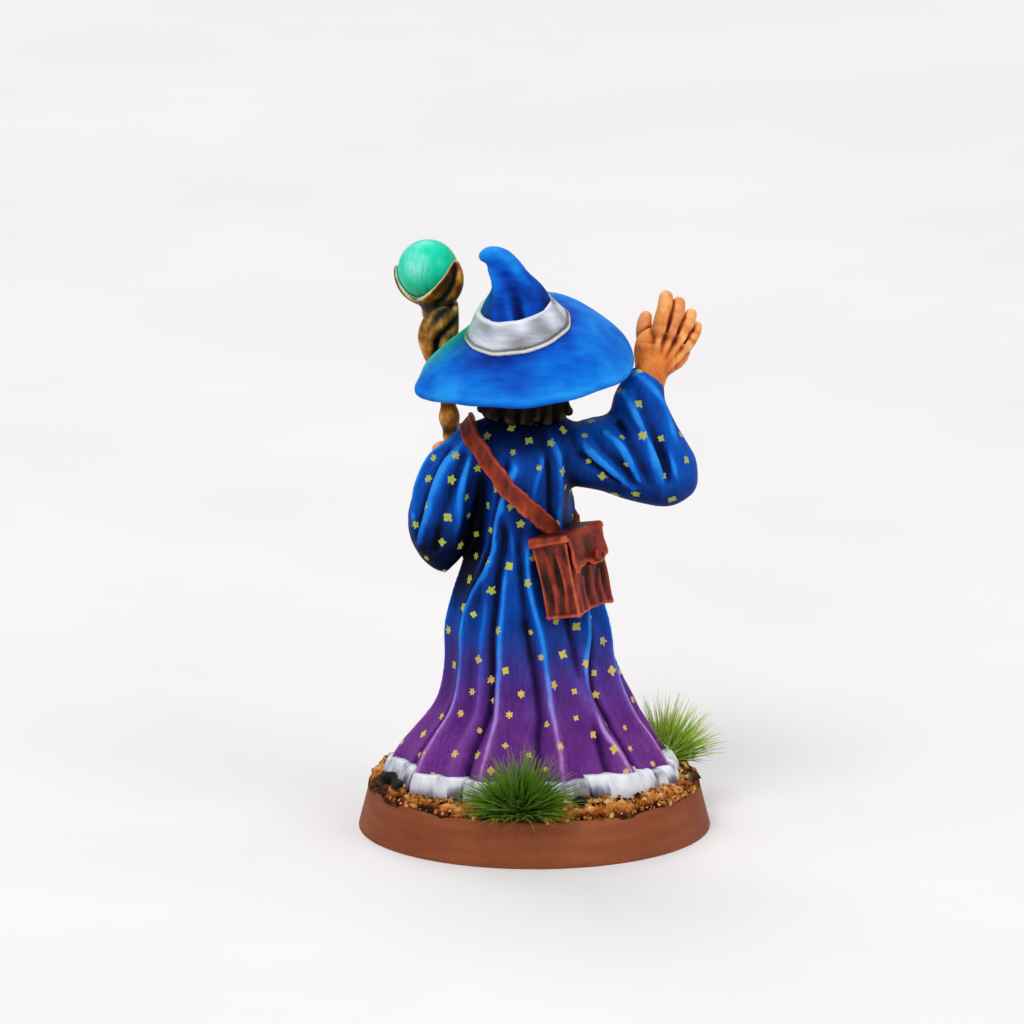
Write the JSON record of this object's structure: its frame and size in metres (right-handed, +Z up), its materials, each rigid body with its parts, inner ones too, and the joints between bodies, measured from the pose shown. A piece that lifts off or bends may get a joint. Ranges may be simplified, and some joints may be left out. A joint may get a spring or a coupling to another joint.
{
  "type": "painted miniature figure",
  "caption": "Painted wizard game miniature in a starry robe and pointed hat, with a raised hand, staff and satchel, on a round slotted base with grass tufts.",
  "frame": {"origin": "centre of the round base's underside", "axes": "+Z up; the figure faces -Y; its left hand, with the staff, is at +X; its back is at +Y"},
  "size_m": [0.025, 0.025, 0.0425],
  "materials": {
    "base": "matt brown paint",
    "ground": "sand and paste, painted",
    "stones": "dark, matt",
    "grass": "loose fibres",
    "robe": "satin paint, blue fading to purple, with small yellow stars",
    "hem": "satin white paint with grey shading",
    "skin": "satin paint",
    "hair": "satin paint",
    "hat": "satin paint",
    "hat_band": "silver grey satin paint",
    "leather": "satin paint, streaked like old leather",
    "wood": "satin paint, gold brown",
    "orb": "satin paint, shaded like a glowing gem"
  },
  "bodies": {
    "root": {"base": "base", "ground": "ground", "stone_1": "stones", "stone_2": "stones", "stone_3": "stones", "stone_4": "stones", "stone_5": "stones", "tuft_back": "grass", "tuft_side": "grass", "robe_body": "robe", "robe_hem": "hem", "left_sleeve": "robe", "right_sleeve": "robe", "left_hand": "skin", "right_hand": "skin", "head": "skin", "hair": "hair", "beard": "hair", "hat": "hat", "hat_band": "hat_band", "satchel_body": "leather", "satchel_flap": "leather", "satchel_button": "leather", "satchel_strap": "leather", "staff_shaft": "wood", "staff_claw": "wood", "staff_orb": "orb"}
  },
  "joints": []
}
